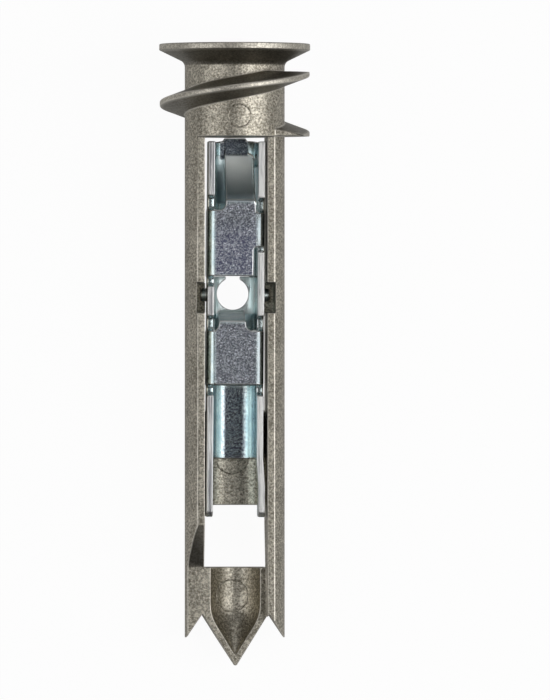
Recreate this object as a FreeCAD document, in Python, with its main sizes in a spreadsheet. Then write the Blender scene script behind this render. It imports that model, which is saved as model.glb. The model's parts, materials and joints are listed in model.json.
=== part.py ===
import FreeCAD, Part
import math
import os
import re

import Sketcher

# Self-drilling toggle anchor: a die-cast zinc body with a coarse flight under its head, a long
# slot between two rails and a cutting nose, and a stamped steel bar that swings in the slot.
# Each piece is drawn with its head face at y = 0, its nose towards -y and its open front
# towards +z, and lengths run from the head towards the nose. Millimetres throughout.
SIZES = {
    # head, neck and flight of the body
    "flange_radius": 9.26,
    "flange_rim": 0.77,
    "rim_round": 0.15,
    "flange_root": 2.3,
    "flange_blend": 0.9,
    "neck_length": 11.41,
    "bore_radius": 2.6,
    "drive_length": 8.4,
    "drive_width": 2.0,
    "drive_depth": 2.6,
    "flight_pitch": 7.43,
    "flight_crest_radius": 9.2,
    "flight_sink": 0.33,
    "flight_root_width": 2.9,
    "flight_crest_width": 0.6,
    "flight_left": 7.3,
    "flight_top": 3.44,
    "flight_bottom": 11.35,
    "flight_front_end": 9.0,
    # rails, slot and rear seat of the body
    "rail_height": 3.875,
    "rail_thickness": 2.3,
    "slot_play": 0.33,
    "seat_lead": 3.2,
    "seat_setback": 1.4,
    "seat_floor": 3.0,
    "seat_corner": 2.85,
    "pocket_headward": 1.5,
    "pocket_noseward": 2.2,
    "pocket_depth": 1.02,
    "pocket_floor": 0.9,
    "ledge_gap": 0.08,
    "ledge_height": 1.1,
    # cutting nose of the body
    "ramp_length": 5.2,
    "nose_face": 1.75,
    "notch_lead": 5.7,
    "notch_half": 4.05,
    "tooth_length": 2.9,
    "tooth_flat": 0.13,
    "point_length": 6.3,
    "point_half": 0.15,
    "point_height": 0.9,
    "heel_lead": 2.0,
    "heel_blend": 5.0,
    "gouge_half": 3.02,
    "gouge_axis": 1.4,
    "gouge_taper": 4.85,
    "gouge_blend": 5.0,
    "gouge_lip": 1.25,
    # sheet, width and bends of the swinging bar
    "sheet_thickness": 0.85,
    "bar_half_width": 3.5,
    "bar_front_depth": 3.4,
    "bar_rear_depth": 2.8,
    "front_bend_radius": 1.0,
    "rear_bend_radius": 2.1,
    "trough_bend_radius": 2.6,
    "strip_bend_radius": 0.4,
    "long_crown_radius": 1.6,
    "short_crown_radius": 0.8,
    # lengths of the bar, one after another from the neck to the prong ends
    "bar_gap": 0.59,
    "upper_channel_length": 6.9,
    "upper_notch_length": 1.5,
    "upper_web_length": 8.1,
    "hole_channel_length": 4.9,
    "lower_notch_length": 1.8,
    "lower_web_length": 6.6,
    "trough_length": 9.1,
    "prong_length": 7.1,
    "prong_gap": 6.2,
    # details of the bar
    "tab_half": 1.6,
    "tab_top_half": 1.25,
    "tab_rise": 0.5,
    "long_strip_setback": 1.6,
    "long_strip_run": 5.5,
    "long_strip_left": 1.3,
    "long_strip_right": 2.3,
    "short_strip_lead": 0.2,
    "short_strip_run": 1.1,
    "short_strip_left": 2.05,
    "short_strip_right": 1.25,
    "strip_lap": 1.0,
    "strip_window_lap": 0.35,
    "shoulder_reach": 1.2,
    "shoulder_round": 0.9,
    "relief_length": 3.6,
    "relief_land": 0.6,
    "relief_right": 2.13,
    "relief_lap": 0.2,
    "relief_round": 0.45,
    "pivot_setback": 2.3,
    "hole_radius": 1.95,
    "hole_shift": 0.15,
    "hole_rise": 0.15,
    "hole_neck_half": 0.85,
    "pin_radius": 0.78,
    "pin_stand": 0.7,
    "prong_rear": 0.3,
    "prong_flare_width": 0.25,
    "prong_flare_length": 3.3,
    "prong_flare_blend": 3.0,
    "prong_round": 0.8,
    "notch_depth": 1.5,
    "notch_lap": 0.25,
    "notch_shift": 0.3,
    "notch_round": 0.5,
    "end_notch": 1.3,
    "bar_skew": 0.4,
}

# Widths across the axis and stations along it, as formulas of the sizes above.
DERIVED = {
    "slot_half": "bar_half_width + slot_play",
    "barrel_radius": "slot_half + rail_thickness",
    "flight_root_radius": "barrel_radius - flight_sink",
    "pocket_reach": "slot_half + pocket_depth",
    "pin_reach": "bar_half_width + pin_stand",
    "bar_top": "neck_length + bar_gap",
    "upper_notch_start": "bar_top + upper_channel_length",
    "upper_web_start": "upper_notch_start + upper_notch_length",
    "upper_web_end": "upper_web_start + upper_web_length",
    "lower_notch_start": "upper_web_end + hole_channel_length",
    "lower_web_start": "lower_notch_start + lower_notch_length",
    "lower_web_end": "lower_web_start + lower_web_length",
    "trough_end": "lower_web_end + trough_length",
    "prong_end": "trough_end + prong_length",
    "window_end": "prong_end + prong_gap",
    "pivot": "upper_web_end + pivot_setback",
    "long_strip_foot": "bar_top + long_strip_setback",
    "long_strip_top": "long_strip_foot + long_strip_run",
    "short_strip_foot": "lower_notch_start - short_strip_lead",
    "short_strip_top": "short_strip_foot + short_strip_run",
    "seat_start": "lower_web_end + seat_lead",
    "seat_end": "prong_end - seat_setback",
    "ramp_start": "window_end - ramp_length",
    "notch_root": "window_end + notch_lead",
    "tooth_tip": "notch_root + tooth_length",
    "heel_corner": "notch_root + heel_lead",
    "overall_length": "notch_root + point_length",
    "gouge_close": "overall_length - gouge_lip",
    "gouge_shoulder": "gouge_close - gouge_taper",
}

# Relief notches in the front edges of the bar's walls: side, first station, last station.
NOTCHES = [
    ("-", "upper_notch_start - notch_lap", "upper_web_start"),
    ("", "upper_notch_start - notch_lap + notch_shift", "upper_web_start + notch_shift"),
    ("-", "upper_web_end", "upper_web_end + 5 * notch_lap"),
    ("-", "lower_notch_start", "lower_web_start"),
    ("", "lower_notch_start", "lower_web_start"),
    ("-", "lower_web_end", "lower_web_end + end_notch"),
    ("", "lower_web_end", "lower_web_end + end_notch"),
]

# Front view is x across and y up, side view y across and z up, section x across and z up.
VIEWS = {"front": "XY_Plane", "side": "YZ_Plane", "section": "XZ_Plane"}
CLEAR = 1.0


def cell(word):
    """What a word of a formula stands for in the sheet: a size, a derived length or itself."""
    if word in DERIVED:
        return f"({formula(DERIVED[word])})"
    return f"Sizes.{word}" if word in SIZES else word


def formula(text):
    """Point every size and derived length named in a formula at the cells of the sheet."""
    return re.sub(r"[a-z_]+", lambda found: cell(found[0]), text)


def value(text):
    """Number that a formula of the sheet gives now."""
    return float(sheet.evalExpression(formula(text)))


def sketch_on(body, view, name, lift="0"):
    """Empty sketch on one of the body's own planes, lifted along its normal by a formula."""
    plane = next(part for part in body.Origin.OriginFeatures if part.Role == VIEWS[view])
    sketch = body.newObject("Sketcher::SketchObject", name)
    sketch.AttachmentSupport = (plane, [""])
    sketch.MapMode = "FlatFace"
    sketch.setExpression("AttachmentOffset.Base.z", formula(lift))
    return sketch


def bind(sketch, kind, *terms):
    """Dimension of a sketch whose last term is a formula."""
    index = sketch.addConstraint(Sketcher.Constraint(kind, *terms[:-1], value(terms[-1])))
    sketch.setExpression(f"Constraints[{index}]", formula(terms[-1]))


def place_point(sketch, item, end, across, up):
    """Hold a point of the sketch at two formulas measured from the sketch's origin."""
    for kind, axis, text in (("DistanceX", -2, across), ("DistanceY", -1, up)):
        if text == "0":
            sketch.addConstraint(Sketcher.Constraint("PointOnObject", item, end, axis))
        else:
            bind(sketch, kind, -1, 1, item, end, text)


def outline(sketch, corners):
    """Closed outline through corners (across, up) or, where rounded, (across, up, radius)."""
    flat = FreeCAD.Vector(0, 0, 1)
    points = [FreeCAD.Vector(value(c[0]), value(c[1]), 0) for c in corners]
    radii = [value(c[2]) if len(c) == 3 else 0.0 for c in corners]
    count = len(corners)
    enter, leave, arcs = list(points), list(points), {}
    for i, radius in enumerate(radii):
        if not radius:
            continue
        before = (points[i - 1] - points[i]).normalize()
        after = (points[(i + 1) % count] - points[i]).normalize()
        half = before.getAngle(after) / 2
        enter[i] = points[i] + before * (radius / math.tan(half))
        leave[i] = points[i] + after * (radius / math.tan(half))
        centre = points[i] + (before + after).normalize() * (radius / math.sin(half))
        left_turn = before.cross(after).z < 0
        first, last = (enter[i], leave[i]) if left_turn else (leave[i], enter[i])
        angles = [math.atan2(p.y - centre.y, p.x - centre.x) for p in (first, last)]
        arc = Part.ArcOfCircle(Part.Circle(centre, flat, radius), *angles)
        arcs[i] = (sketch.addGeometry(arc), 1 if left_turn else 2, 2 if left_turn else 1)
    lines = []
    for i in range(count):
        line = Part.LineSegment(leave[i], enter[(i + 1) % count])
        lines.append(sketch.addGeometry(line))
    for i, corner in enumerate(corners):
        into, out = lines[i - 1], lines[i]
        if i not in arcs:
            sketch.addConstraint(Sketcher.Constraint("Coincident", into, 2, out, 1))
            place_point(sketch, out, 1, corner[0], corner[1])
            continue
        arc, arc_in, arc_out = arcs[i]
        sketch.addConstraint(Sketcher.Constraint("Tangent", into, 2, arc, arc_in))
        sketch.addConstraint(Sketcher.Constraint("Tangent", arc, arc_out, out, 1))
        bind(sketch, "Radius", arc, corner[2])
        apex = sketch.addGeometry(Part.Point(points[i]), True)
        place_point(sketch, apex, 1, corner[0], corner[1])
        sketch.addConstraint(Sketcher.Constraint("PointOnObject", apex, 1, into))
        sketch.addConstraint(Sketcher.Constraint("PointOnObject", apex, 1, out))


def rectangle(sketch, left, right, low, high):
    """Upright rectangle between two across formulas and two up formulas."""
    outline(sketch, [(left, low), (right, low), (right, high), (left, high)])


def circle(sketch, across, up, radius):
    """Circle whose centre and radius are formulas."""
    centre = FreeCAD.Vector(value(across), value(up), 0)
    ring = sketch.addGeometry(Part.Circle(centre, FreeCAD.Vector(0, 0, 1), value(radius)))
    place_point(sketch, ring, 3, across, up)
    bind(sketch, "Radius", ring, radius)


def extrude(kind, sketch, length, reverse=False, both=False):
    """Pad or Pocket of a sketch by a formula, and a check that it changed the piece."""
    body = sketch.getParentGeoFeatureGroup()
    before = body.Tip.Shape.Volume if body.Tip and body.Tip.isDerivedFrom("PartDesign::Feature") else 0
    feature = body.newObject("PartDesign::" + kind, sketch.Name + "_" + kind.lower())
    feature.Profile = sketch
    feature.setExpression("Length", formula(length))
    feature.Reversed = reverse
    feature.SideType = "Symmetric" if both else "One side"
    doc.recompute()
    gained = feature.Shape.Volume - before
    if (gained > 0) != (kind == "Pad"):
        raise ValueError(f"{feature.Name} changed the volume by {gained:.3f}")
    return feature


def turn(kind, sketch):
    """Revolution or Groove of a sketch about its own upright axis."""
    body = sketch.getParentGeoFeatureGroup()
    feature = body.newObject("PartDesign::" + kind, sketch.Name + "_" + kind.lower())
    feature.Profile = sketch
    feature.ReferenceAxis = (sketch, ["V_Axis"])
    feature.Angle = 360
    doc.recompute()
    return feature


def make_flight(body):
    """Coarse right-hand flight, started on the left below the neck and clipped where
    it runs out: above, below, and in front of the rails' plane near the slot."""
    profile = sketch_on(body, "front", "flight_profile")
    start = "-(flight_left + flight_pitch)"
    outline(profile, [
        ("-flight_root_radius", start + " - flight_root_width / 2"),
        ("-flight_root_radius", start + " + flight_root_width / 2"),
        ("-flight_crest_radius", start + " + flight_crest_width / 2"),
        ("-flight_crest_radius", start + " - flight_crest_width / 2"),
    ])
    flight = body.newObject("PartDesign::AdditiveHelix", "flight")
    flight.Profile = profile
    flight.ReferenceAxis = (profile, ["V_Axis"])
    flight.Mode = "pitch-turns-angle"
    flight.setExpression("Pitch", formula("flight_pitch"))
    rise = "flight_left + flight_pitch - flight_top + flight_root_width / 2"
    flight.setExpression("Turns", formula(f"({rise}) / flight_pitch + 0.02"))
    doc.recompute()
    upper = sketch_on(body, "section", "flight_upper_clip", "flight_top")
    circle(upper, "0", "0", f"flight_crest_radius + {CLEAR}")
    extrude("Pocket", upper, f"flight_top + {CLEAR}")
    lower = sketch_on(body, "section", "flight_lower_clip", "flight_bottom")
    circle(lower, "0", "0", f"flight_crest_radius + {CLEAR}")
    extrude("Pocket", lower, "2 * flight_pitch", reverse=True)
    front = sketch_on(body, "section", "flight_front_clip", "flight_bottom")
    reach = f"(flight_crest_radius + {CLEAR})"
    rectangle(front, f"-{reach}", reach, "rail_height", reach)
    extrude("Pocket", front, "flight_bottom - flight_front_end")


def make_head(body):
    """Round barrel, countersunk-style flange and the cross drive around the through bore."""
    barrel = sketch_on(body, "section", "barrel")
    circle(barrel, "0", "0", "barrel_radius")
    extrude("Pad", barrel, "overall_length")
    flange = sketch_on(body, "front", "flange")
    outline(flange, [
        ("0", "0"),
        ("flange_radius", "0", "rim_round"),
        ("flange_radius", "-flange_rim", "rim_round"),
        ("barrel_radius", "-flange_root", "flange_blend"),
        ("barrel_radius", "-flange_root - 2 * flange_blend"),
        ("0", "-flange_root - 2 * flange_blend"),
    ])
    turn("Revolution", flange)
    bore = sketch_on(body, "section", "bore")
    circle(bore, "0", "0", "bore_radius")
    extrude("Pocket", bore, f"neck_length + {CLEAR}", reverse=True)
    for name, across, up in (("drive_across", "drive_length", "drive_width"),
                             ("drive_upright", "drive_width", "drive_length")):
        wing = sketch_on(body, "section", name)
        rectangle(wing, f"-{across} / 2", f"{across} / 2", f"-{up} / 2", f"{up} / 2")
        extrude("Pocket", wing, "drive_depth", reverse=True)


def make_slot(body):
    """Flats, open slot, rear seat, window, and the two pin pockets with their inner ledges."""
    flats = sketch_on(body, "side", "rail_flats")
    for side in ("", "-"):
        rectangle(flats, f"-overall_length - {CLEAR}", "-neck_length",
                  f"{side}rail_height", f"{side}(barrel_radius + {CLEAR})")
    extrude("Pocket", flats, f"2 * barrel_radius + {CLEAR}", both=True)
    openings = sketch_on(body, "front", "slot_and_window")
    rectangle(openings, "-slot_half", "slot_half", "-seat_start", "-neck_length")
    rectangle(openings, "-slot_half", "slot_half", "-window_end", "-seat_end")
    extrude("Pocket", openings, f"2 * rail_height + {CLEAR}", both=True)
    seat = sketch_on(body, "section", "seat_channel", "seat_start")
    outline(seat, [
        ("-slot_half", f"rail_height + {CLEAR}"),
        ("-slot_half", "-seat_floor", "seat_corner"),
        ("slot_half", "-seat_floor", "seat_corner"),
        ("slot_half", f"rail_height + {CLEAR}"),
    ])
    extrude("Pocket", seat, "seat_end - seat_start", reverse=True)
    pockets = sketch_on(body, "front", "pin_pockets", "-pocket_floor")
    rectangle(pockets, "-pocket_reach", "pocket_reach",
              "-pivot - pocket_noseward", "-pivot + pocket_headward")
    extrude("Pocket", pockets, f"pocket_floor + rail_height + {CLEAR}", reverse=True)
    ledges = sketch_on(body, "front", "pin_ledges", "-pocket_floor - ledge_height")
    for side in ("-", ""):
        rectangle(ledges, f"{side}pocket_reach", f"{side}(bar_half_width + ledge_gap)",
                  "-pivot - pocket_noseward", "-pivot + pocket_headward")
    extrude("Pad", ledges, "ledge_height")


def make_nose(body):
    """Ramped rails, toothed V outline, gouge and the heel that lifts towards the point."""
    for name, side, length, reverse in (
        ("front_ramp", "", f"slot_half + barrel_radius + {CLEAR}", False),
        ("rear_ramp", "-", f"barrel_radius + {CLEAR} - slot_half", True),
    ):
        ramp = sketch_on(body, "side", name, "slot_half")
        outline(ramp, [
            ("-ramp_start", f"{side}rail_height"),
            ("-window_end", f"{side}nose_face"),
            (f"-overall_length - {CLEAR}", f"{side}nose_face"),
            (f"-overall_length - {CLEAR}", f"{side}(rail_height + {CLEAR})"),
            ("-ramp_start", f"{side}(rail_height + {CLEAR})"),
        ])
        extrude("Pocket", ramp, length, reverse=reverse)
    teeth = sketch_on(body, "front", "teeth")
    right = [
        ("point_half", "-overall_length"),
        ("notch_half", "-notch_root"),
        ("barrel_radius - tooth_flat", "-tooth_tip"),
        (f"barrel_radius + {CLEAR}", "-tooth_tip"),
        (f"barrel_radius + {CLEAR}", f"-overall_length - {CLEAR}"),
    ]
    left = [(f"-({across})", up) for across, up in reversed(right)]
    outline(teeth, right + left)
    extrude("Pocket", teeth, f"2 * barrel_radius + {CLEAR}", both=True)
    heel = sketch_on(body, "side", "heel")
    outline(heel, [
        ("-notch_root + 2 * heel_blend", "-rail_height"),
        ("-heel_corner", "-rail_height", "heel_blend"),
        ("-overall_length", "point_height"),
        (f"-overall_length - {CLEAR}", "point_height"),
        (f"-overall_length - {CLEAR}", f"-rail_height - {CLEAR}"),
        ("-notch_root + 2 * heel_blend", f"-rail_height - {CLEAR}"),
    ])
    extrude("Pocket", heel, f"2 * barrel_radius + {CLEAR}", both=True)
    gouge = sketch_on(body, "front", "gouge_sides", "gouge_axis")
    half = [
        ("gouge_half", "-gouge_shoulder", "gouge_blend"),
        ("gouge_half", f"-window_end + {CLEAR}"),
    ]
    other = [(f"-{corner[0]}",) + corner[1:] for corner in reversed(half)]
    outline(gouge, [("0", "-gouge_close")] + half + other)
    extrude("Pocket", gouge, f"nose_face + {CLEAR}", reverse=True)
    floor = sketch_on(body, "front", "gouge_floor", "gouge_axis")
    outline(floor, [("0", "-gouge_close")] + half + [("0", f"-window_end + {CLEAR}")])
    turn("Groove", floor)


def make_channel(body, name, start, end, bend, opens_front):
    """Length of folded channel, open to the front or to the rear, with rounded bends."""
    front, rear = "bar_front_depth", "-bar_rear_depth"
    edge, web = (front, rear) if opens_front else (rear, front)
    inner_web = web + (" + sheet_thickness" if opens_front else " - sheet_thickness")
    sketch = sketch_on(body, "section", name, start)
    outline(sketch, [
        ("-bar_half_width", edge),
        ("-bar_half_width", web, bend),
        ("bar_half_width", web, bend),
        ("bar_half_width", edge),
        ("bar_half_width - sheet_thickness", edge),
        ("bar_half_width - sheet_thickness", inner_web, f"{bend} - sheet_thickness"),
        ("-(bar_half_width - sheet_thickness)", inner_web, f"{bend} - sheet_thickness"),
        ("-(bar_half_width - sheet_thickness)", edge),
    ])
    extrude("Pad", sketch, f"{end} - {start}")


def make_strip(body, name, foot, top, left, right, crown, run_in, run_out):
    """Strip of the web that climbs from the rear level to the front level."""
    rise = "(bar_front_depth + bar_rear_depth - sheet_thickness)"
    shift = f"sheet_thickness / 2 * tan(atan({rise} / ({top} - {foot})) / 2)"
    sketch = sketch_on(body, "side", name, right)
    outline(sketch, [
        (f"-({run_in})", "-bar_rear_depth + sheet_thickness"),
        (f"-({foot} - {shift})", "-bar_rear_depth + sheet_thickness", "strip_bend_radius"),
        (f"-({top} - {shift})", "bar_front_depth", f"{crown} + sheet_thickness"),
        (f"-({run_out})", "bar_front_depth"),
        (f"-({run_out})", "bar_front_depth - sheet_thickness"),
        (f"-({top} + {shift})", "bar_front_depth - sheet_thickness", crown),
        (f"-({foot} + {shift})", "-bar_rear_depth", "strip_bend_radius + sheet_thickness"),
        (f"-({run_in})", "-bar_rear_depth"),
    ])
    extrude("Pad", sketch, f"{left} + {right}", reverse=True)


def make_shoulder(body, name, start, left, right):
    """Rounded shoulders where a strip widens into its front web."""
    sketch = sketch_on(body, "front", name, "bar_front_depth - sheet_thickness")
    side = "bar_half_width - front_bend_radius"
    outline(sketch, [
        (f"-{left}", f"-({start} - shoulder_reach)"),
        (f"-{left}", f"-{start}", "shoulder_round"),
        (f"-({side})", f"-{start}"),
        (f"-({side})", f"-({start} + shoulder_reach)"),
        (side, f"-({start} + shoulder_reach)"),
        (side, f"-{start}"),
        (right, f"-{start}", "shoulder_round"),
        (right, f"-({start} - shoulder_reach)"),
    ])
    extrude("Pad", sketch, "sheet_thickness")


def make_bar_webs(body):
    """Channels, webs and strips of the bar from its top to the end of its trough."""
    make_channel(body, "upper_channel", "bar_top", "upper_web_start", "rear_bend_radius", True)
    make_channel(body, "upper_web", "upper_web_start", "upper_web_end", "front_bend_radius", False)
    make_channel(body, "hole_channel", "upper_web_end", "lower_web_start", "rear_bend_radius", True)
    make_channel(body, "lower_web", "lower_web_start", "lower_web_end", "front_bend_radius", False)
    make_channel(body, "trough", "lower_web_end", "trough_end", "trough_bend_radius", True)
    for name, left, right, foot, web in (
        ("long", "long_strip_left", "long_strip_right", "long_strip_foot", "upper_web_start"),
        ("short", "short_strip_left", "short_strip_right", "short_strip_foot", "lower_web_start"),
    ):
        window = sketch_on(body, "front", f"{name}_strip_window", "-bar_rear_depth - sheet_thickness")
        rectangle(window, f"-{left} + strip_window_lap", f"{right} - strip_window_lap",
                  f"-{web}", f"-{foot}")
        extrude("Pocket", window, "3 * sheet_thickness", reverse=True)
    make_strip(body, "long_strip", "long_strip_foot", "long_strip_top",
               "long_strip_left", "long_strip_right", "long_crown_radius",
               "long_strip_foot - strip_lap", "upper_web_start + strip_lap")
    make_strip(body, "short_strip", "short_strip_foot", "short_strip_top",
               "short_strip_left", "short_strip_right", "short_crown_radius",
               "pivot + hole_radius / 2", "lower_web_start + strip_lap")
    make_shoulder(body, "upper_shoulder", "upper_web_start", "long_strip_left", "long_strip_right")
    make_shoulder(body, "lower_shoulder", "lower_web_start", "short_strip_left", "short_strip_right")
    tab = sketch_on(body, "front", "tab", "-bar_rear_depth")
    outline(tab, [
        ("-tab_half", "-long_strip_foot"),
        ("tab_half", "-long_strip_foot"),
        ("tab_half", "-bar_top"),
        ("tab_top_half", "-(bar_top - tab_rise)"),
        ("-tab_top_half", "-(bar_top - tab_rise)"),
        ("-tab_half", "-bar_top"),
    ])
    extrude("Pad", tab, "sheet_thickness")


def make_bar_cuts(body):
    """Sheared right edge of the upper web, its rear lip, the hole and the relief notches."""
    relief = sketch_on(body, "front", "upper_web_relief", "bar_front_depth - front_bend_radius")
    top = "upper_web_end - relief_length"
    outline(relief, [
        ("relief_right", "-upper_web_end"),
        (f"bar_half_width + {CLEAR}", "-upper_web_end"),
        (f"bar_half_width + {CLEAR}", f"-({top})"),
        ("relief_right", f"-({top})", "relief_round"),
    ])
    extrude("Pocket", relief, f"front_bend_radius + {CLEAR}", reverse=True)
    wall = sketch_on(body, "front", "relief_wall", "bar_front_depth - front_bend_radius")
    inside = "(bar_half_width - sheet_thickness)"
    rectangle(wall, inside, "bar_half_width", "-upper_web_end", f"-({top} + relief_land)")
    extrude("Pad", wall, "front_bend_radius")
    flange = sketch_on(body, "front", "relief_flange", "-bar_rear_depth")
    rectangle(flange, "relief_right - relief_lap", f"{inside} + sheet_thickness / 2",
              "-upper_web_end", f"-({top})")
    extrude("Pad", flange, "sheet_thickness")
    hole = sketch_on(body, "front", "hole", "-bar_rear_depth - sheet_thickness")
    circle(hole, "-hole_shift", "-pivot + hole_rise", "hole_radius")
    extrude("Pocket", hole, "3 * sheet_thickness", reverse=True)
    neck = sketch_on(body, "front", "hole_neck", "-bar_rear_depth - sheet_thickness")
    rectangle(neck, "-hole_shift - hole_neck_half", "-hole_shift + hole_neck_half",
              "-pivot", "-upper_web_end")
    extrude("Pocket", neck, "3 * sheet_thickness", reverse=True)
    for number, (side, first, last) in enumerate(NOTCHES):
        notch = sketch_on(body, "side", f"notch_{number}", f"{side}({inside} - notch_lap)")
        outline(notch, [
            (f"-({last})", f"bar_front_depth + {CLEAR}"),
            (f"-({last})", "bar_front_depth - notch_depth", "notch_round"),
            (f"-({first})", "bar_front_depth - notch_depth", "notch_round"),
            (f"-({first})", f"bar_front_depth + {CLEAR}"),
        ])
        extrude("Pocket", notch, f"sheet_thickness + notch_lap + {CLEAR}", reverse=not side)


def make_prongs(body):
    """Straight left prong, flared right prong and the pressed pins at the pivot."""
    prongs = sketch_on(body, "front", "prongs", "prong_rear")
    rectangle(prongs, "-bar_half_width", "-(bar_half_width - sheet_thickness)", "-prong_end", "-trough_end")
    flare = "-(trough_end + prong_flare_length)"
    outline(prongs, [
        ("bar_half_width - sheet_thickness", "-trough_end"),
        ("bar_half_width - sheet_thickness + prong_flare_width", flare, "prong_flare_blend"),
        ("bar_half_width - sheet_thickness + prong_flare_width", "-prong_end"),
        ("bar_half_width + prong_flare_width", "-prong_end"),
        ("bar_half_width + prong_flare_width", flare, "prong_flare_blend"),
        ("bar_half_width", "-trough_end"),
    ])
    extrude("Pad", prongs, "bar_front_depth - prong_rear")
    ends = sketch_on(body, "side", "prong_ends")
    outline(ends, [
        (f"-prong_end - {CLEAR}", f"bar_front_depth + {CLEAR}"),
        (f"-prong_end - {CLEAR}", f"prong_rear - {CLEAR}"),
        ("-prong_end + 2 * prong_round", f"prong_rear - {CLEAR}"),
        ("-prong_end + 2 * prong_round", "prong_rear"),
        ("-prong_end", "prong_rear", "prong_round"),
        ("-prong_end", "bar_front_depth", "prong_round"),
        ("-prong_end + 2 * prong_round", "bar_front_depth"),
        ("-prong_end + 2 * prong_round", f"bar_front_depth + {CLEAR}"),
    ])
    extrude("Pocket", ends, f"2 * (bar_half_width + {CLEAR})", both=True)
    for name, side, reverse in (("right_pin", "", False), ("left_pin", "-", True)):
        pin = sketch_on(body, "side", name, f"{side}(bar_half_width - sheet_thickness / 2)")
        circle(pin, "-pivot", "0", "pin_radius")
        extrude("Pad", pin, "pin_reach - bar_half_width + sheet_thickness / 2", reverse=reverse)


def rest_angle():
    """Tilt, in degrees, at which the body lies on its heel and its flight or flange."""
    slope = math.atan2(value("point_height + rail_height"), value("overall_length - heel_corner"))
    heel = value("heel_corner") - value("heel_blend") * math.tan(slope / 2)
    crest = value("flight_left + flight_pitch / 4 + flight_crest_width / 2")
    supports = [
        (value("flange_rim"), value("flange_radius")),
        (crest, value("flight_crest_radius")),
    ]
    drop = value("rail_height")
    return max(math.degrees(math.atan2(r - drop, heel - at)) for at, r in supports)


def lay_down(bodies):
    """Lie on the rear side, head raised by the flight, centred over the origin."""
    tilt = FreeCAD.Placement(FreeCAD.Vector(), FreeCAD.Rotation(FreeCAD.Vector(1, 0, 0), rest_angle()))
    for body, own in bodies:
        body.Placement = tilt * own
    doc.recompute()
    box = FreeCAD.BoundBox()
    for body, own in bodies:
        box.add(body.Shape.optimalBoundingBox(False, False))
    shift = FreeCAD.Placement(FreeCAD.Vector(-box.Center.x, -box.Center.y, -box.ZMin), FreeCAD.Rotation())
    for body, own in bodies:
        body.Placement = shift * tilt * own
    doc.recompute()
    return shift * tilt


doc = FreeCAD.newDocument("toggle_anchor")
sheet = doc.addObject("Spreadsheet::Sheet", "Sizes")
for row, (name, number) in enumerate(SIZES.items(), start=1):
    sheet.set(f"A{row}", name)
    sheet.set(f"B{row}", str(number))
    sheet.setAlias(f"B{row}", name)
doc.recompute()

anchor = doc.addObject("PartDesign::Body", "anchor_body")
make_flight(anchor)
make_head(anchor)
make_slot(anchor)
make_nose(anchor)

toggle = doc.addObject("PartDesign::Body", "toggle_bar")
make_bar_webs(toggle)
make_bar_cuts(toggle)
make_prongs(toggle)

# The bar is loose in the slot, and lies a little askew about its pins.
straight = FreeCAD.Placement()
askew = FreeCAD.Placement(FreeCAD.Vector(), FreeCAD.Rotation(FreeCAD.Vector(0, 0, 1), -value("bar_skew")),
                          FreeCAD.Vector(0, -value("pivot"), 0))
laid = lay_down([(anchor, straight), (toggle, askew)])

for item in doc.Objects:
    if "Invalid" in item.State or "Error" in item.State:
        raise RuntimeError(f"{item.Label} failed: {item.State}")

os.makedirs("parts", exist_ok=True)
for body in (anchor, toggle):
    shape = body.Shape
    if shape.isNull() or not shape.isValid() or len(shape.Solids) != 1:
        raise RuntimeError(f"{body.Label} is not one valid solid")
    shape.exportStep(f"parts/{body.Label}.step")
    print(f"{body.Label}: {shape.Volume:.1f} mm3, {shape.optimalBoundingBox(False, False)}")


def placed(own, across, station, height):
    """Where a point of a drawn piece lies after it is laid down."""
    return (laid * own).multVec(FreeCAD.Vector(across, -station, height))


def turned(own, across, along, height):
    """Which way a direction of a drawn piece points after it is laid down."""
    return (laid * own).Rotation.multVec(FreeCAD.Vector(across, along, height))


hole_height = -value("bar_rear_depth") + value("sheet_thickness") / 2
print("rest angle", round(rest_angle(), 3), "shift", laid.Base)
print("pivot", placed(askew, 0, value("pivot"), 0), "axis", turned(askew, -1, 0, 0))
print("head face centre", placed(straight, 0, 0, 0))
print("hole centre", placed(askew, -value("hole_shift"), value("pivot - hole_rise"), hole_height))
print("head direction", turned(straight, 0, 1, 0))
print("front direction", turned(straight, 0, 0, 1))
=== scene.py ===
# %% [markdown]
# A self-drilling toggle anchor: a die-cast zinc body with a coarse flight, a long slot and a
# toothed nose, and a stamped steel bar that swings in the slot. It lies on its rear side, as it
# would come to rest, and the camera looks down on it with the head at the top of the picture.
# The imported model is the frame: it says where everything is, and nothing in it is moved.

# %% The frame: the imported model and its record
import json
import math

import bpy
from mathutils import Matrix, Vector
from mathutils.bvhtree import BVHTree


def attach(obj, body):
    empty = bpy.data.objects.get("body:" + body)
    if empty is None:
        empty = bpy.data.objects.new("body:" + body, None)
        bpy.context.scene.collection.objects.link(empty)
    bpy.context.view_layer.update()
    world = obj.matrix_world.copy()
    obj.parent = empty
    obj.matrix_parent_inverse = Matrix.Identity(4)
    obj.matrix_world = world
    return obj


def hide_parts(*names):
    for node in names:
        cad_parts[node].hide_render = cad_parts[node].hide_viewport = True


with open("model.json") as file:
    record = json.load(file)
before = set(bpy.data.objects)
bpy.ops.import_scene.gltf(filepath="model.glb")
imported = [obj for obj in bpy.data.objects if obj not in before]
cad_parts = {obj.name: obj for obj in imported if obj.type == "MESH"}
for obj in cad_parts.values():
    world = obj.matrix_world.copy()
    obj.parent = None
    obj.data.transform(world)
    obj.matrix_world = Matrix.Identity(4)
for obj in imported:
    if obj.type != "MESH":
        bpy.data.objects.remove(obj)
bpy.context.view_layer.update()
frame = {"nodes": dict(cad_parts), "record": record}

# %% [markdown]
# The anchor lies about five degrees off level, because its flight holds its head up. Its own
# directions come from the bore through its neck, so every place below can be given the way a
# maker would: across the part, how far down from the head face, and how high over its axis.

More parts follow.
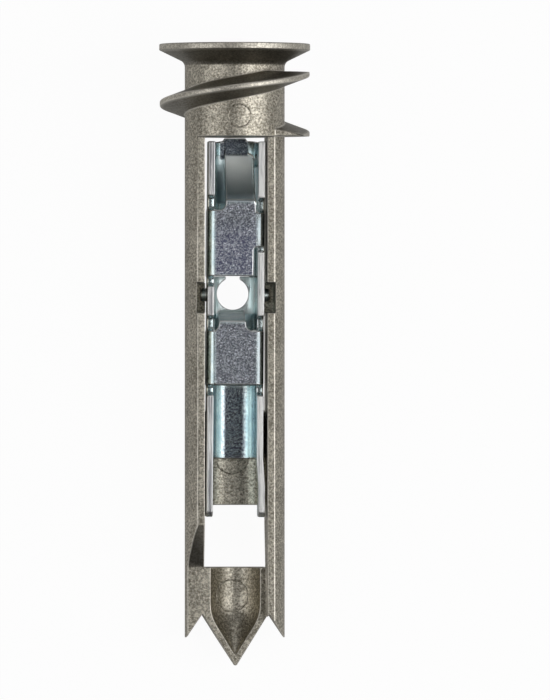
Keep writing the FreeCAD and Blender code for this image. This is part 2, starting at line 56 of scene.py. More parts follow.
# %% The part's own directions
MM = 0.001
mounts = {mount["name"]: mount for mount in frame["record"]["mounts"]}
HEADWARD = Vector(mounts["neck_bore"]["axis"]).normalized()
ACROSS = Vector((1, 0, 0))
FRONT = ACROSS.cross(HEADWARD)
HEAD_FACE = Vector(mounts["head_face"]["pos_m"])
HEAD_FACE.x = 0
LEAN = math.atan2(HEADWARD.z, HEADWARD.y)


def place(across, station, height):
    """Point of a place on the part, in millimetres from the middle of its head face."""
    return HEAD_FACE + (across * ACROSS - station * HEADWARD + height * FRONT) * MM


print(f"leans {math.degrees(LEAN):.2f} degrees, head face at {tuple(round(v, 4) for v in HEAD_FACE)}")

# %% [markdown]
# Shader maths reads best as plain arithmetic. A small class wraps a node's output and turns
# +, -, * and abs into Math nodes, also where a plain number comes first, and one function adds
# any other node with its settings and inputs.

# %% A way to write materials as expressions


class Wire:
    """One output of a node, which arithmetic can use."""

    def __init__(self, tree, socket):
        self.tree = tree
        self.socket = socket

    def maths(self, operation, first, second):
        """Math node with two inputs, each a wire or a plain number."""
        return add_node(self.tree, "ShaderNodeMath", {"operation": operation}, {0: first, 1: second})

    def __add__(self, other):
        return self.maths("ADD", self, other)

    def __radd__(self, other):
        return self.maths("ADD", other, self)

    def __sub__(self, other):
        return self.maths("SUBTRACT", self, other)

    def __rsub__(self, other):
        return self.maths("SUBTRACT", other, self)

    def __mul__(self, other):
        return self.maths("MULTIPLY", self, other)

    def __rmul__(self, other):
        return self.maths("MULTIPLY", other, self)

    def __abs__(self):
        return self.maths("ABSOLUTE", self, 0)


def add_node(tree, kind, settings, inputs, output=0):
    """Add a node: its settings first, then the values or wires of its sockets."""
    node = tree.nodes.new(kind)
    for name, setting in settings.items():
        setattr(node, name, setting)
    for name, given in inputs.items():
        if isinstance(given, Wire):
            tree.links.new(given.socket, node.inputs[name])
        else:
            node.inputs[name].default_value = given
    return Wire(tree, node.outputs[output]) if node.outputs else node


# %% [markdown]
# A pattern has to stay on the metal when the part is seen from another side, so every pattern
# here reads the piece's own coordinates. They are turned so that one unit is a millimetre and
# the axes are the part's own, and the same numbers that shape the part then place its finish.

# %% The part's own millimetres in a material


def own_millimetres(tree):
    """Object coordinates turned to across, minus station and height, in millimetres."""
    turn_back = Matrix.Rotation(-LEAN, 3, "X")
    start = -(turn_back @ HEAD_FACE) / MM
    coordinates = add_node(tree, "ShaderNodeTexCoord", {}, {}, "Object")
    return add_node(tree, "ShaderNodeMapping", {}, {
        "Vector": coordinates,
        "Location": start,
        "Rotation": (-LEAN, 0, 0),
        "Scale": (1 / MM, 1 / MM, 1 / MM),
    })


def axis_of(vector, index):
    """One coordinate of a vector wire."""
    return add_node(vector.tree, "ShaderNodeSeparateXYZ", {}, {"Vector": vector}, index)


def noise(vector, scale, detail, roughness, distortion=0.0):
    """Noise over millimetre coordinates; scale is features for each millimetre."""
    return add_node(vector.tree, "ShaderNodeTexNoise", {}, {
        "Vector": vector, "Scale": scale, "Detail": detail,
        "Roughness": roughness, "Distortion": distortion,
    })


# %% [markdown]
# Most of a finish is a question of where: on this web, below that edge, within a certain radius.
# A mask answers it with a number from nought to one, and masks are multiplied to narrow a place
# down. The next helpers make masks from a coordinate and blend two colours by a mask. Blender's
# Mix node has sockets for numbers and vectors too, so its colour sockets are picked by number.

# %% Masks and blends
COLOUR_A = 6
COLOUR_B = 7
MIXED_COLOUR = 2


def spread(wire, low, high, to_low=0.0, to_high=1.0):
    """Stretch what lies between low and high over a new range, and clamp it there."""
    return add_node(wire.tree, "ShaderNodeMapRange", {"clamp": True}, {
        "Value": wire, "From Min": low, "From Max": high, "To Min": to_low, "To Max": to_high,
    })


def fading(wire, low, high):
    """One up to low, then down to nought at high."""
    return spread(wire, low, high, to_low=1.0, to_high=0.0)


def between(wire, low, high, fade):
    """One between two bounds, fading to nought over a short way outside them."""
    return spread(wire, low - fade, low) * fading(wire, high, high + fade)


def larger(first, second):
    """The larger of two wires."""
    return first.maths("MAXIMUM", first, second)


def mix_colour(factor, first, second):
    """Blend of two colours: the first where the factor is nought, the second where it is one."""
    return add_node(factor.tree, "ShaderNodeMix", {"data_type": "RGBA"}, {
        "Factor": factor, COLOUR_A: first, COLOUR_B: second,
    }, MIXED_COLOUR)


# %% [markdown]
# Some masks can't come from a place: how squarely a face looks along the part, and whether it
# belongs to a rounded edge. The meshes carry those two values on their faces, under the names
# end_on and rounded_edge, and a material reads them by name.

# %% Materials and what the mesh tells them


def new_material(name):
    """Empty material with its own node tree."""
    material = bpy.data.materials.new(name)
    material.use_nodes = True
    material.node_tree.nodes.clear()
    return material


def face_value(tree, name):
    """Value that the mesh carries on its faces."""
    return add_node(tree, "ShaderNodeAttribute", {"attribute_name": name}, {}, "Fac")


def surface(tree, **inputs):
    """Principled shader and the material's output."""
    shader = add_node(tree, "ShaderNodeBsdfPrincipled", {}, {
        name.replace("_", " "): given for name, given in inputs.items()
    })
    add_node(tree, "ShaderNodeOutputMaterial", {}, {"Surface": shader})


# %% [markdown]
# Die-cast zinc comes out of its mould a warm grey with a fine grain: dull where the metal
# chilled first, a little brighter where it flowed. Two sizes of noise give the grain and the
# clouding. Faces that look end on along the part, such as the flight's flanks, the flange's
# underside and the ramp, get a weaker bump and painted shade, down to where the nose starts.
# The rims of the flange and the flight, which have the largest radius, get a painted highlight.

# %% Die-cast zinc: grain, painted shade and painted highlights
GRAIN_SHARE = 0.85
CLOUD_SHARE = 0.15
CHILLED_TO_FLOWED = (0.43, 0.59)
END_ON = (0.20, 0.36)
NOSE_START = (64.6, 65.2)
WITHOUT_STATION = (1.0, 0.0, 1.0)
RIM_RADIUS = (8.7, 9.0)

cast_zinc = new_material("cast_zinc")
zinc_tree = cast_zinc.node_tree
zinc_place = own_millimetres(zinc_tree)
grain = noise(zinc_place, scale=3.8, detail=3.0, roughness=0.85)
cloud = noise(zinc_place, scale=0.35, detail=3.0, roughness=0.6, distortion=0.4)
lightness = spread(GRAIN_SHARE * grain + CLOUD_SHARE * cloud, *CHILLED_TO_FLOWED)
along_body = -1.0 * axis_of(zinc_place, 1)
# painted shade on the faces that look end on along the part, which also get a weaker bump
smooth_and_painted_shade = spread(face_value(zinc_tree, "end_on"), *END_ON) * fading(along_body, *NOSE_START)
crosswise = add_node(zinc_tree, "ShaderNodeVectorMath", {"operation": "MULTIPLY"}, {
    0: zinc_place, 1: WITHOUT_STATION,
})
radius = add_node(zinc_tree, "ShaderNodeVectorMath", {"operation": "LENGTH"}, {
    0: crosswise,
}, "Value")
# painted highlight on the outermost rims of the flange and the flight
rim_highlight = spread(radius, *RIM_RADIUS)
# the rounded edges get a painted highlight
zinc_edge_highlight = face_value(zinc_tree, "rounded_edge")
print(f"{cast_zinc.name}: {len(zinc_tree.nodes)} nodes say where it is coarse, smooth or rubbed")

# %% [markdown]
# The colours go on from the widest place to the narrowest, as paint would: the painted shade on
# the end-on faces, then the painted highlight on the rims, and last the painted highlight on the
# rounded edges. The grain feeds the bump and the roughness too,
# so that the light picks out the same grains that the colour shows.

# %% Die-cast zinc: colour and shine
CHILLED_ZINC = (0.27, 0.245, 0.195, 1)
FLOWED_ZINC = (0.80, 0.75, 0.64, 1)
# painted shade for the faces that look end on along the part
PAINTED_SHADE_ZINC = (0.15, 0.14, 0.12, 1)
# painted highlight for the rims and the rounded edges
PAINTED_HIGHLIGHT_ZINC = (0.95, 0.91, 0.82, 1)
PAINTED_SHADE_SHARE = 0.7
RIM_HIGHLIGHT_SHARE = 0.3
EDGE_HIGHLIGHT_SHARE = 0.5
GRAIN_HEIGHT = 0.00004
GRAIN_BUMP = 0.6
BUMP_LOST_WHERE_SMOOTH = 0.4

zinc_colour = mix_colour(lightness, CHILLED_ZINC, FLOWED_ZINC)
# painted shade on the end-on faces
zinc_colour = mix_colour(PAINTED_SHADE_SHARE * smooth_and_painted_shade, zinc_colour, PAINTED_SHADE_ZINC)
# painted highlight on the rims
zinc_colour = mix_colour(RIM_HIGHLIGHT_SHARE * rim_highlight, zinc_colour, PAINTED_HIGHLIGHT_ZINC)
# painted highlight on the rounded edges
zinc_colour = mix_colour(EDGE_HIGHLIGHT_SHARE * zinc_edge_highlight, zinc_colour, PAINTED_HIGHLIGHT_ZINC)
zinc_bump = add_node(zinc_tree, "ShaderNodeBump", {}, {
    "Strength": GRAIN_BUMP - BUMP_LOST_WHERE_SMOOTH * smooth_and_painted_shade,
    "Distance": GRAIN_HEIGHT, "Height": grain,
})
zinc_roughness = spread(grain, 0.3, 0.7, to_low=0.48, to_high=0.36)
surface(zinc_tree, Base_Color=zinc_colour, Metallic=0.95,
        Roughness=zinc_roughness, Normal=zinc_bump)
print(f"{cast_zinc.name}: {len(zinc_tree.nodes)} nodes in all")

# %% [markdown]
# The bar is one strip of plated sheet, and each stretch of it looks different for a reason. The
# press tool struck the two front webs and the top tab, and left them crystalline. Where there is
# no front web, the side walls end in sheared edges that face the front. Each place is a stretch
# along the part, narrowed by how far it lies from the axis (sides) and how high it lies (level).
# A stretch is given by its two ends, sides and levels by the two values between which the mask
# comes or goes, all in millimetres.

# %% Plated steel: the struck webs, the top tab and the sheared edges
UPPER_WEB = (19.7, 28.2)
LOWER_WEB = (34.5, 41.8)
WEB_SIDES = (2.35, 2.7)
WEB_LEVEL = (2.9, 3.2)
SIDE_NOTCH = (25.0, 28.8)
NOTCH_SIDE = (2.4, 2.5)
TOP_TAB = (11.0, 14.0)
TAB_SIDES = (1.65, 1.75)
TAB_LEVEL = (-1.6, -1.9)
CUT_SIDES = (2.5, 2.6)
CUT_LEVEL = (3.0, 3.2)

plated_steel = new_material("plated_steel")
steel_tree = plated_steel.node_tree
steel_place = own_millimetres(steel_tree)
across = axis_of(steel_place, 0)
station = -1.0 * axis_of(steel_place, 1)
height = axis_of(steel_place, 2)
from_axis = abs(across)
side_notch = between(station, *SIDE_NOTCH, fade=0.2) * spread(across, *NOTCH_SIDE)
upper_web = between(station, *UPPER_WEB, fade=0.5) * (1.0 - side_notch)
front_webs = upper_web + between(station, *LOWER_WEB, fade=0.5)
struck = fading(from_axis, *WEB_SIDES) * front_webs * spread(height, *WEB_LEVEL)
tab = between(station, *TOP_TAB, fade=0.2) * fading(from_axis, *TAB_SIDES)
pressed = struck + tab * spread(height, *TAB_LEVEL)
sheared = spread(from_axis, *CUT_SIDES) * spread(height, *CUT_LEVEL) * (1.0 - front_webs)
print(f"{plated_steel.name}: {len(steel_tree.nodes)} nodes say what was struck or sheared")

# %% [markdown]
# The rest of the bar is smoother. Two strips climb from the rear web to the front web, the floor
# lies round the hole, the trough is the deep channel before the prongs, the bends join the webs
# to the side walls, and the pins are all that stands out beyond those walls.

# %% Plated steel: the strips, the bends, the floor, the trough and the pins
LONG_STRIP = (13.8, 19.4)
SHORT_STRIP = (32.6, 34.6)
STRIP_SIDES = (2.0, 2.3)
BEND_SIDE = (2.5, 2.65)
BEND_LEVEL = (2.2, 2.5)
HOLE_FLOOR = (28.7, 33.0)
FLOOR_LEVEL = (-1.6, -1.2)
TROUGH = (42.3, 51.0)
TROUGH_SIDES = (1.0, 1.8)
PIN_SIDES = (3.52, 3.58)

inside_walls = fading(from_axis, *STRIP_SIDES)
long_strip = between(station, *LONG_STRIP, fade=0.3) * inside_walls
strips = long_strip + between(station, *SHORT_STRIP, fade=0.3) * inside_walls
# painted shade on the bends along one side
painted_shade_bend = front_webs * spread(across, *BEND_SIDE) * spread(height, *BEND_LEVEL)
hole_floor = between(station, *HOLE_FLOOR, fade=0.2) * fading(height, *FLOOR_LEVEL)
trough = between(station, *TROUGH, fade=0.3) * fading(from_axis, *TROUGH_SIDES)
pins = spread(from_axis, *PIN_SIDES)
print(f"{plated_steel.name}: {len(steel_tree.nodes)} nodes with the other places")

# %% [markdown]
# Zinc plating is bright where the sheet is smooth, with a thin blue-green film. Round the hole
# it is painted paler as a painted highlight, the long strip carries a painted highlight at its
# top that fades to painted shade at its foot, and the bends along one side get painted shade.
# Dark spots mottle the middle of the trough and, faintly, the strips; over the trough's middle
# they also lay painted shade.

# %% Plated steel: the smooth plating, with painted highlights and painted shade
GREEN_FILM = (0.56, 0.69, 0.72, 1)
PALE_FILM = (0.70, 0.80, 0.80, 1)
# dark mottling, which also lays painted shade over the trough's middle and, faintly, the strips
DARK_SPOT_AND_SHADE = (0.12, 0.135, 0.19, 1)
# painted highlight at the top of the long strip, and painted shade at its foot
PAINTED_STRIP_HIGHLIGHT = (0.95, 1.0, 1.0, 1)
PAINTED_STRIP_SHADE = (0.33, 0.41, 0.44, 1)
# painted highlight on the floor round the hole
PAINTED_HOLE_HIGHLIGHT = (0.93, 1.0, 0.99, 1)
# painted shade for the bends along one side
PAINTED_BEND_SHADE = (0.17, 0.18, 0.19, 1)
SPOTS_ON_STRIPS = 0.25
CLIMB = (14.6, 18.6)
CLIMB_SLANT = 0.25
CLIMB_SHARE = 0.85
BEND_SHADE_SHARE = 0.75

film = spread(noise(steel_place, scale=0.8, detail=2.0, roughness=0.5), 0.35, 0.65)
plating = mix_colour(film, GREEN_FILM, PALE_FILM)
mottling = noise(steel_place, scale=3.6, detail=3.0, roughness=0.85)
spots = spread(mottling, 0.43, 0.57, to_low=1.0, to_high=0.3)
# mottling plus painted shade over the trough's middle and, faintly, the strips
plating = mix_colour((SPOTS_ON_STRIPS * strips + trough) * spots, plating, DARK_SPOT_AND_SHADE)
climb = spread(station - CLIMB_SLANT * across, *CLIMB)
# the long strip fades from a painted highlight to painted shade
painted_strip_light = mix_colour(climb, PAINTED_STRIP_HIGHLIGHT, PAINTED_STRIP_SHADE)
plating = mix_colour(CLIMB_SHARE * long_strip, plating, painted_strip_light)
# painted highlight round the hole
plating = mix_colour(hole_floor, plating, PAINTED_HOLE_HIGHLIGHT)
plating = mix_colour(BEND_SHADE_SHARE * painted_shade_bend, plating, PAINTED_BEND_SHADE)
print(f"{plated_steel.name}: the smooth plating brings it to {len(steel_tree.nodes)} nodes")

# %% [markdown]
# A press first cuts sheet cleanly and then tears it, so a sheared edge shows bright and dull
# lines along the cut. Noise gives them when its coordinates are squeezed along the part: it then
# changes quickly across the edge and hardly at all along it. The cuts on the right-hand walls are
# also painted lighter, a painted highlight.

# %% Plated steel: the sheared edges
TORN_CUT = (0.34, 0.34, 0.36, 1)
CLEAN_CUT = (0.97, 0.97, 0.95, 1)
LINES_PER_MM = (4.5, 0.12, 0.5)
TORN_TO_CLEAN = (0.39, 0.51)
# painted highlight: the cuts on the right-hand walls come out lighter
PAINTED_LIGHT_TO_THE_RIGHT = 0.012

along_the_cut = add_node(steel_tree, "ShaderNodeMapping", {}, {
    "Vector": steel_place, "Scale": LINES_PER_MM,
})
streaks = noise(along_the_cut, scale=1.0, detail=3.0, roughness=0.7)
# bright and dull cut lines, plus a painted highlight towards the right
cleanness_and_side_light = spread(streaks + PAINTED_LIGHT_TO_THE_RIGHT * across, *TORN_TO_CLEAN)
cut_colour = mix_colour(cleanness_and_side_light, TORN_CUT, CLEAN_CUT)
edges_and_plating = mix_colour(sheared, plating, cut_colour)
print(f"{plated_steel.name}: the sheared edges bring it to {len(steel_tree.nodes)} nodes")

# %% [markdown]
# On the struck webs each crystal has its own random shade, bluish towards the foot of the upper
# web, and the brightest few carry a painted glint. The cells of a Voronoi texture stand for
# the crystals, because each cell keeps one random shade, and fine noise roughens them. The top
# tab is darkened with painted shade.

# %% Plated steel: the crystals
DARK_CRYSTAL = (0.165, 0.175, 0.205, 1)
BLUE_CRYSTAL = (0.135, 0.14, 0.24, 1)
LIGHT_CRYSTAL = (0.68, 0.72, 0.79, 1)
# painted glint on the brightest crystal cells
PAINTED_GLINT = (0.90, 0.94, 1.0, 1)
TAB_SHADE = (0.09, 0.09, 0.12, 1)
CELLS_PER_MM = 7.5
FINE_SHARE = 0.6
CELL_SHARE = 0.4
DARK_TO_LIGHT = (0.40, 0.72)
GLINTING_CELLS = (0.94, 0.98)
BLUE_STRETCH = (24.0, 28.5)
BLUE_SHARE = 0.8
TAB_SHARE = 0.35

crystals = noise(steel_place, scale=8.0, detail=3.0, roughness=0.8)
cells = add_node(steel_tree, "ShaderNodeTexVoronoi", {}, {
    "Vector": steel_place, "Scale": CELLS_PER_MM,
}, "Color")
cell = add_node(steel_tree, "ShaderNodeSeparateColor", {}, {"Color": cells})
blueness = between(station, *BLUE_STRETCH, fade=2.5) * BLUE_SHARE
dark_crystal = mix_colour(blueness, DARK_CRYSTAL, BLUE_CRYSTAL)
web_light = spread(FINE_SHARE * crystals + CELL_SHARE * cell, *DARK_TO_LIGHT)
web_colour = mix_colour(web_light, dark_crystal, LIGHT_CRYSTAL)
# painted glint
web_colour = mix_colour(spread(cell, *GLINTING_CELLS), web_colour, PAINTED_GLINT)
# painted shade on the top tab
web_colour = mix_colour(TAB_SHARE * tab, web_colour, TAB_SHADE)
print(f"{plated_steel.name}: the crystals bring it to {len(steel_tree.nodes)} nodes")

# %% [markdown]
# The rounded edges of the bar get a painted highlight, which goes on last. Smooth plating is
# glossy, and each of the places listed below is rougher by an amount of its own. The crystals
# stand up from the webs as a bump, which is much weaker on the cuts and the strips.

# %% Plated steel: colour and shine
# painted highlight for the bar's rounded edges
PAINTED_EDGE_HIGHLIGHT_STEEL = (0.97, 0.98, 0.98, 1)
STEEL_EDGE_HIGHLIGHT_SHARE = 0.8
CRYSTAL_HEIGHT = 0.0001
BUMP_EVERYWHERE = 0.12
BUMP_ON_CRYSTALS = 0.88
BUMP_ON_CUTS = 0.3
BUMP_ON_STRIPS = 0.25
PLATING_ROUGHNESS = 0.20
ROUGHER_BY = ((pressed, 0.12), (sheared, 0.15), (strips, 0.16), (hole_floor, 0.2), (pins, 0.1))

steel_rounded_edge = face_value(steel_tree, "rounded_edge")
steel_colour = mix_colour(pressed, edges_and_plating, web_colour)
# painted highlight on the rounded edges
steel_colour = mix_colour(STEEL_EDGE_HIGHLIGHT_SHARE * steel_rounded_edge, steel_colour, PAINTED_EDGE_HIGHLIGHT_STEEL)
crystal_bump = BUMP_EVERYWHERE + BUMP_ON_CRYSTALS * pressed * (1.0 - steel_rounded_edge)
steel_bump = add_node(steel_tree, "ShaderNodeBump", {}, {
    "Strength": crystal_bump + BUMP_ON_CUTS * sheared + BUMP_ON_STRIPS * strips,
    "Distance": CRYSTAL_HEIGHT, "Height": crystals,
})
steel_roughness = PLATING_ROUGHNESS
for mask, amount in ROUGHER_BY:
    steel_roughness = steel_roughness + mask * amount
surface(steel_tree, Base_Color=steel_colour, Metallic=1.0,
        Roughness=steel_roughness, Normal=steel_bump)
print(f"{plated_steel.name}: {len(steel_tree.nodes)} nodes in all")

# %% [markdown]
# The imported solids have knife-sharp edges. Real castings and stampings never do, and it is the
# thin rounded edge that catches the light. Each solid is copied first, and its loose triangles
# are merged back into whole faces, because a bevel needs to know which edges are real.

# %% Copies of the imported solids
SAME_POINT = 0.002 * MM
SAME_PLANE = math.radians(0.6)


def merge_mesh(whole_faces):
    """Merge the active piece's doubled points and, if asked, its triangles into whole faces."""
    bpy.ops.object.mode_set(mode="EDIT")
    bpy.ops.mesh.select_all(action="SELECT")
    bpy.ops.mesh.remove_doubles(threshold=SAME_POINT)
    if whole_faces:
        bpy.ops.mesh.dissolve_limited(angle_limit=SAME_PLANE, delimit={"NORMAL"})
    bpy.ops.object.mode_set(mode="OBJECT")


def copy_of(source, name, material):
    """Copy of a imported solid, selected and active, with whole faces and two material slots."""
    mesh = source.data.copy()
    mesh.materials.clear()
    mesh.materials.append(material)
    mesh.materials.append(material)
    piece = bpy.data.objects.new(name, mesh)
    bpy.context.collection.objects.link(piece)
    bpy.ops.object.select_all(action="DESELECT")
    bpy.context.view_layer.objects.active = piece
    piece.select_set(True)
    merge_mesh(whole_faces=True)
    return piece


# %% [markdown]
# A narrow bevel goes along every edge that turns sharply, and gives its new faces the second
# material slot, which tells them apart later. Where it runs out into a corner at a slant it can
# shoot a point out along the next edge. A true rounding never stands off the solid, so such a
# point is drawn back onto its nearest neighbour that doesn't.

# %% Rounded edges, and points that stand off the solid
SHARP_EDGE = math.radians(30)
STRAY = 0.8


def round_edges(piece, width):
    """Narrow rounding along the sharp edges, whose faces get the second material slot."""
    rounding = piece.modifiers.new("rounding", "BEVEL")
    rounding.width = width
    rounding.segments = 3
    rounding.limit_method = "ANGLE"
    rounding.angle_limit = SHARP_EDGE
    rounding.use_clamp_overlap = False
    rounding.miter_outer = "MITER_ARC"
    rounding.material = 1
    bpy.ops.object.modifier_apply(modifier=rounding.name)


def draw_back(mesh, source, reach):
    """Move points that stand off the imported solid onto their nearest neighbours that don't."""
    solid = BVHTree.FromPolygons([vertex.co for vertex in source.data.vertices],
                                 [face.vertices for face in source.data.polygons])
    away = [solid.find_nearest(vertex.co)[3] for vertex in mesh.vertices]
    strays = {index for index, distance in enumerate(away) if distance > reach}
    waiting = set(strays)
    while waiting:
        moves = {}
        for edge in mesh.edges:
            for stray, neighbour in (edge.vertices, reversed(edge.vertices)):
                if stray in waiting and neighbour not in waiting:
                    target = mesh.vertices[neighbour].co.copy()
                    gap = (mesh.vertices[stray].co - target).length
                    if stray not in moves or gap < moves[stray][0]:
                        moves[stray] = (gap, target)
        if not moves:
            break
        for stray, (gap, target) in moves.items():
            mesh.vertices[stray].co = target
        waiting -= set(moves)
    return len(strays)


# %% [markdown]
# Smooth shading bends the light over the rounded edges, and weighted normals keep the wide faces
# flat right up to them. The two values that the materials ask for are then written on the faces.
# The second slot has done its work, so every face goes back to the first.

# %% Shading, and what each face tells its material
SMOOTH_UP_TO = math.radians(35)
FLAT_FACE_WEIGHT = 80


def shade(piece):
    """Smooth edges beside flat faces."""
    bpy.ops.object.shade_smooth_by_angle(angle=SMOOTH_UP_TO)
    flattening = piece.modifiers.new("flattening", "WEIGHTED_NORMAL")
    flattening.keep_sharp = True
    flattening.weight = FLAT_FACE_WEIGHT
    bpy.ops.object.modifier_apply(modifier=flattening.name)


def write_face_values(mesh, material):
    """How squarely each face looks along the part, and whether it is a rounded edge."""
    end_on = mesh.attributes.new("end_on", "FLOAT", "FACE")
    for face, value in zip(mesh.polygons, end_on.data):
        value.value = abs(face.normal.dot(HEADWARD))
    rounded_edge = mesh.attributes.new("rounded_edge", "FLOAT", "FACE")
    for face, value in zip(mesh.polygons, rounded_edge.data):
        value.value = face.material_index
        face.material_index = 0
    mesh.materials.clear()
    mesh.materials.append(material)


# %% [markdown]
# Both pieces go through the same steps. A stamping is usually tumbled to take its burrs off, so
# the bar's rounding is a little wider than the casting's. Each finished copy rides on its own
# body, and the imported solid that it came from is hidden.

# %% The body and the bar with softened edges
BODY_ROUNDING = 0.12 * MM
BAR_ROUNDING = 0.15 * MM


def softened(node, body, width, material):
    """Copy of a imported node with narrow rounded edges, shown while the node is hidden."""
    source = frame["nodes"][node]
    piece = copy_of(source, node + "_finish", material)
    round_edges(piece, width)
    strays = draw_back(piece.data, source, STRAY * width)
    merge_mesh(whole_faces=False)
    shade(piece)
    write_face_values(piece.data, material)
    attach(piece, body)
    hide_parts(node)
    print(f"{piece.name}: {len(piece.data.polygons)} faces, {strays} stray points drawn back")
    return piece


body_finish = softened("anchor_body", "body", BODY_ROUNDING, cast_zinc)
softened("toggle_bar", "toggle", BAR_ROUNDING, plated_steel)

# %% [markdown]
# Where pins push a casting out of its mould they leave shallow rings: one on the neck, one on
# the rear seat and one on the floor of the gouge. A circle is laid over the place, projected
# onto the casting so that it follows the curve, and given the thickness of a hair. The numbers
# are how far across and how far down its middle lies, and its radius, in millimetres.

# %% The marks of the ejector pins
EJECTOR_RINGS = {
    "neck_ring": (0.34, 8.92, 1.40),
    "seat_ring": (-0.20, 50.80, 1.96),
    "gouge_ring": (-0.27, 67.70, 1.93),
}
RING_POINTS = 72
RING_WIRE = 0.11
RING_CLEARANCE = 12.0


def make_ring(name, across_part, down_part, ring_radius):
    """Fine raised ring that lies on the casting's surface, seen square on from the front."""
    bpy.ops.object.select_all(action="DESELECT")
    bpy.ops.mesh.primitive_circle_add(vertices=RING_POINTS, radius=ring_radius * MM,
                                      location=place(across_part, down_part, RING_CLEARANCE),
                                      rotation=(LEAN, 0, 0))
    ring = bpy.context.object
    ring.name = name
    landing = ring.modifiers.new("landing", "SHRINKWRAP")
    landing.target = body_finish
    landing.wrap_method = "PROJECT"
    landing.use_project_z = True
    landing.use_negative_direction = True
    landing.use_positive_direction = False
    bpy.ops.object.modifier_apply(modifier=landing.name)
    bpy.ops.object.transform_apply(location=True, rotation=True, scale=True)
    bpy.ops.object.convert(target="CURVE")
    ring.data.bevel_depth = RING_WIRE * MM
    ring.data.bevel_resolution = 2
    bpy.ops.object.convert(target="MESH")
    bpy.ops.object.shade_smooth()
    ring.data.materials.clear()
    ring.data.materials.append(cast_zinc)
    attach(ring, "body")
    heights = [(vertex.co - HEAD_FACE).dot(FRONT) / MM for vertex in ring.data.vertices]
    print(f"{name}: heights {min(heights):.2f} to {max(heights):.2f} mm")


for ring_name, spot in EJECTOR_RINGS.items():
    make_ring(ring_name, *spot)

# %% [markdown]
# The studio floor is pale paint that takes the part's soft shadow. To the camera, and faintly in
# what the metal mirrors, it also glows, so that it shows as a studio's white but hardly lights
# the part any more. Light Path tells the material which kind of ray is looking at it.

# %% The floor
FLOOR_SIZE = 3.0
FLOOR_PAINT = (0.60, 0.60, 0.60, 1)
WHITE = (1, 1, 1, 1)
FLOOR_GLOW = 1.06
GLOW_TO_CAMERA = 0.9
GLOW_IN_METAL = 0.2


def ray(tree, kind):
    """One where a ray of this kind looks at the surface."""
    return add_node(tree, "ShaderNodeLightPath", {}, {}, f"Is {kind} Ray")


bpy.ops.object.select_all(action="DESELECT")
bpy.ops.mesh.primitive_plane_add(size=FLOOR_SIZE, location=(0, 0, 0))
floor = bpy.context.object
floor.name = "floor"
floor_white = new_material("floor_white")
floor_tree = floor_white.node_tree
mirrored = larger(ray(floor_tree, "Glossy"), ray(floor_tree, "Transmission"))
glowing = larger(GLOW_TO_CAMERA * ray(floor_tree, "Camera"), GLOW_IN_METAL * mirrored)
paint = add_node(floor_tree, "ShaderNodeBsdfDiffuse", {}, {"Color": FLOOR_PAINT})
glow = add_node(floor_tree, "ShaderNodeEmission", {}, {"Color": WHITE, "Strength": FLOOR_GLOW})
mixed = add_node(floor_tree, "ShaderNodeMixShader", {}, {0: glowing, 1: paint, 2: glow})
add_node(floor_tree, "ShaderNodeOutputMaterial", {}, {"Surface": mixed})
floor.data.materials.append(floor_white)
print(f"floor: {floor.dimensions.x:.1f} m square")

# %% [markdown]
# The world is grey low round the horizon and dark overhead, where the camera is. Metal shows
# what stands round it, so the dark parts of the studio are what gives it its shape. The camera
# itself sees white behind the floor's far edge.

# %% The world
OVERHEAD = (0.03, 0.03, 0.03, 1)
HORIZON = (0.20, 0.20, 0.20, 1)
HORIZON_BAND = (0.02, 0.30)

world = bpy.data.worlds.new("studio")
bpy.context.scene.world = world
world.use_nodes = True
world_tree = world.node_tree
world_tree.nodes.clear()
direction = add_node(world_tree, "ShaderNodeTexCoord", {}, {}, "Generated")
upwards = axis_of(direction, 2)
sky = mix_colour(fading(upwards, *HORIZON_BAND), OVERHEAD, HORIZON)
backdrop = mix_colour(ray(world_tree, "Camera"), sky, WHITE)
background = add_node(world_tree, "ShaderNodeBackground", {}, {"Color": backdrop, "Strength": 1.0})
add_node(world_tree, "ShaderNodeOutputWorld", {}, {"Surface": background})
print(f"world {world.name}: {len(world_tree.nodes)} nodes")

# %% [markdown]
# Four soft lamps stand in an arc to the left and right of the part, level with its middle, and
# two stand over its head and beyond it. Surfaces that lean towards its nose catch hardly any of
# them and stay dark, which is what tells the flight's flanks and the ramps from the faces that
# look forward.

# %% The lamps
MIDDLE = place(0, 37.5, 0)
LAMP_DISTANCE = 0.7
LAMP_HEIGHT = 0.35


def looking(right, up, back, where):
    """Where a lamp or camera stands and how it is turned, from its own three directions."""
    turned = Matrix((right, up, back)).transposed()
    return Matrix.Translation(where) @ turned.to_4x4()


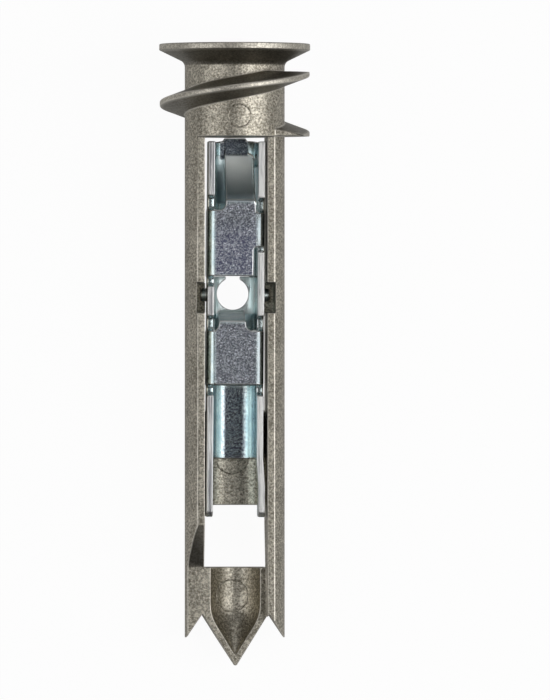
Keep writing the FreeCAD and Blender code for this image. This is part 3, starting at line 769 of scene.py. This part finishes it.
def soft_lamp(name, lean, tip, width, power):
    """Lamp, degrees to the right of straight above and towards the head, facing the part."""
    data = bpy.data.lights.new(name, "AREA")
    data.shape = "RECTANGLE"
    data.size = width
    data.size_y = LAMP_HEIGHT
    data.energy = power
    lamp = bpy.data.objects.new(name, data)
    bpy.context.collection.objects.link(lamp)
    lean_angle = math.radians(lean)
    tip_angle = math.radians(tip)
    sideways = math.sin(lean_angle) * ACROSS + math.cos(lean_angle) * FRONT
    towards = math.cos(tip_angle) * sideways + math.sin(tip_angle) * HEADWARD
    right = HEADWARD.cross(towards).normalized()
    lamp.matrix_world = looking(right, towards.cross(right), towards,
                                MIDDLE + LAMP_DISTANCE * towards)
    print(f"{name}: {power} W, {width} m wide")


soft_lamp("left_side", -52, 0, 0.55, 0.76)
soft_lamp("left_front", -24, 0, 0.35, 0.20)
soft_lamp("right_front", 34, 0, 0.55, 1.50)
soft_lamp("right_side", 65, 0, 0.35, 0.52)
soft_lamp("over_head", 0, 45, 0.35, 0.12)
soft_lamp("beyond_head", 0, 78, 0.35, 0.46)

# %% [markdown]
# The camera is far away with a long lens, level with the middle of the part, and turned three
# degrees to its left, so that the inner wall of the right rail just shows. Its place and lens
# follow from how large the part is in the picture, the column that its axis lies on and the row
# of its head face.

# %% The camera
PIXELS_PER_MM = 8.15
PICTURE_WIDTH = 550
PICTURE_HEIGHT = 700
AXIS_COLUMN = 234.7
HEAD_ROW = 44.0
DISTANCE = 1.3
TURN = math.radians(3.0)
SENSOR_HEIGHT = 36.0

look_from = math.cos(TURN) * FRONT - math.sin(TURN) * ACROSS
picture_right = HEADWARD.cross(look_from)
middle_station = (PICTURE_HEIGHT / 2 - HEAD_ROW) / PIXELS_PER_MM
right_of_axis = (PICTURE_WIDTH / 2 - AXIS_COLUMN) / PIXELS_PER_MM * MM
aim = place(0, middle_station, 0) + right_of_axis * picture_right
picture_height = PICTURE_HEIGHT / PIXELS_PER_MM * MM
camera_data = bpy.data.cameras.new("camera")
camera_data.sensor_fit = "VERTICAL"
camera_data.sensor_height = SENSOR_HEIGHT
camera_data.lens = SENSOR_HEIGHT * DISTANCE / picture_height
camera_data.clip_start = 0.05
camera_data.clip_end = 20.0
camera = bpy.data.objects.new("camera", camera_data)
bpy.context.collection.objects.link(camera)
camera.matrix_world = looking(picture_right, HEADWARD, look_from, aim + DISTANCE * look_from)
bpy.context.scene.camera = camera
bpy.context.scene.view_settings.view_transform = "Standard"
print(f"lens {camera_data.lens:.0f} mm")
